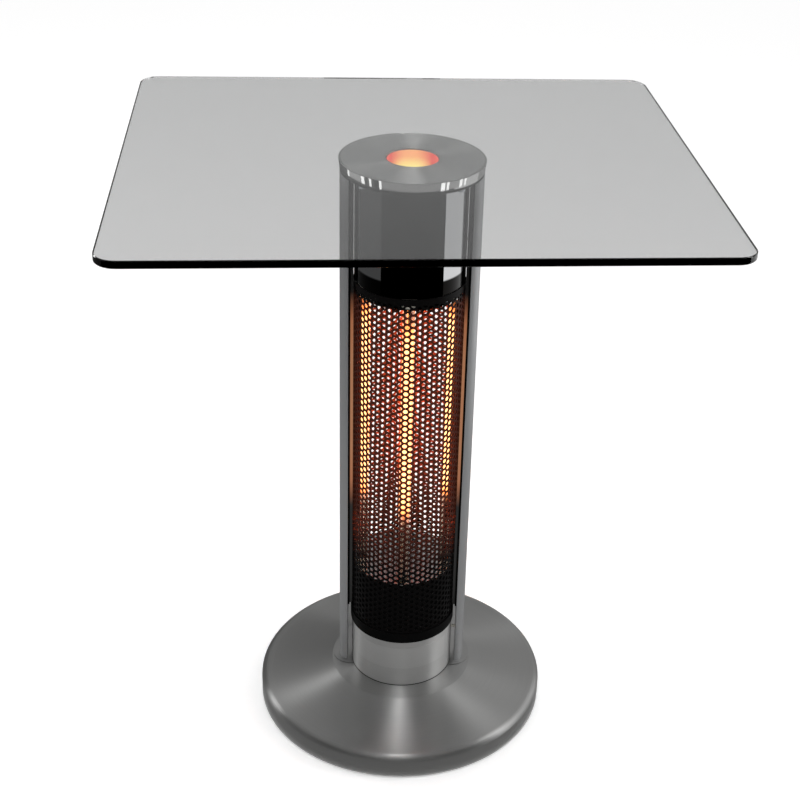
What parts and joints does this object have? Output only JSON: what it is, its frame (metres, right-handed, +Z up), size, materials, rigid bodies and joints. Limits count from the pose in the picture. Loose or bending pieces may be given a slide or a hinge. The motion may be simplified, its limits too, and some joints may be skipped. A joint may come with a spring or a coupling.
{
  "type": "electric patio heater",
  "caption": "Free-standing electric patio heater: a lit column with a round steel base, a perforated guard between posts and a smoked glass table top.",
  "frame": {"origin": "on the floor, at the middle of the round base", "axes": "+Z up; front towards -Y; +X to the right seen from the front; the long sides of the glass run along X"},
  "size_m": [0.6, 0.54, 0.7],
  "materials": {
    "smoked_glass": "toughened, polished faces, ground edge",
    "clear_bond": "clear",
    "brushed_steel": "circular brushed",
    "polished_steel": "mirror polished",
    "spun_steel": "spun and satin brushed",
    "sleeve_steel": "vertical brushed",
    "satin_aluminium": "satin anodised",
    "black_paint": "heat-resistant black powder coat",
    "guard_paint": "heat-resistant dark powder coat",
    "plated_steel": "zinc plated",
    "quartz": "clear quartz, glowing from inside",
    "hot_filament": "incandescent",
    "ceramic": "unglazed steatite",
    "white_wire": "silicone insulation",
    "black_cable": "rubber sheath",
    "black_plastic": "fine moulded texture",
    "rocker_plastic": "gloss",
    "plunger_plastic": "smooth",
    "cast_iron": "as cast, painted",
    "feet_rubber": "moulded",
    "label_foil": "satin foil, blank"
  },
  "bodies": {
    "frame": {"glass_top": "smoked_glass", "glass_bond": "clear_bond", "top_disc": "brushed_steel", "top_plate": "black_paint", "disc_screws": "plated_steel", "housing_screws": "plated_steel", "post_head_screws": "plated_steel", "upper_housing": "polished_steel", "light_well": "polished_steel", "upper_hangers": "plated_steel", "upper_bracket": "black_paint", "upper_spacers": "plated_steel", "upper_reflector": "polished_steel", "caps_upper": "ceramic", "upper_leads": "white_wire", "quartz_tube_front": "quartz", "quartz_tube_right": "quartz", "quartz_tube_back": "quartz", "quartz_tube_left": "quartz", "filament_front": "hot_filament", "filament_right": "hot_filament", "filament_back": "hot_filament", "filament_left": "hot_filament", "mesh_guard": "guard_paint", "guard_rail_left": "black_paint", "guard_rail_right": "black_paint", "guard_trim_left": "polished_steel", "guard_trim_right": "polished_steel", "post_left": "satin_aluminium", "post_right": "satin_aluminium", "lower_reflector": "polished_steel", "lower_spacers": "plated_steel", "caps_lower": "ceramic", "lower_bracket": "black_paint", "element_can": "black_paint", "element_leads": "white_wire", "riser_lead": "white_wire", "terminal_block": "ceramic", "thermal_cutout": "plated_steel", "guard_ring": "black_paint", "lower_housing": "sleeve_steel", "rating_plate": "label_foil", "lower_collar": "plated_steel", "collar_screws": "plated_steel", "switch_body": "black_plastic", "base_shell": "spun_steel", "anchor_plate": "plated_steel", "base_ballast": "cast_iron", "base_plate": "black_paint", "base_feet": "feet_rubber", "base_bolts": "plated_steel", "post_foot_screws": "plated_steel", "tip_switch_body": "black_plastic", "tip_spring": "plated_steel", "gland_body": "black_plastic", "gland_cap": "black_plastic", "gland_locknut": "black_plastic", "mains_lead": "black_cable"},
    "rocker": {"switch_rocker": "rocker_plastic"},
    "plunger": {"tip_plunger": "plunger_plastic"}
  },
  "joints": [
    {"name": "power_rocker", "type": "hinge", "parent": "frame", "child": "rocker", "pos_m": [0, 0.0608, 0.0775], "axis": [-1, 0, 0], "range_deg": [0, 16]},
    {"name": "tip_over_plunger", "type": "slide", "parent": "frame", "child": "plunger", "axis": [0, 0, -1], "range_m": [0, 0.004], "stiffness_N_per_m": 150, "springref_m": 0.01, "deforming": ["tip_spring"]}
  ]
}
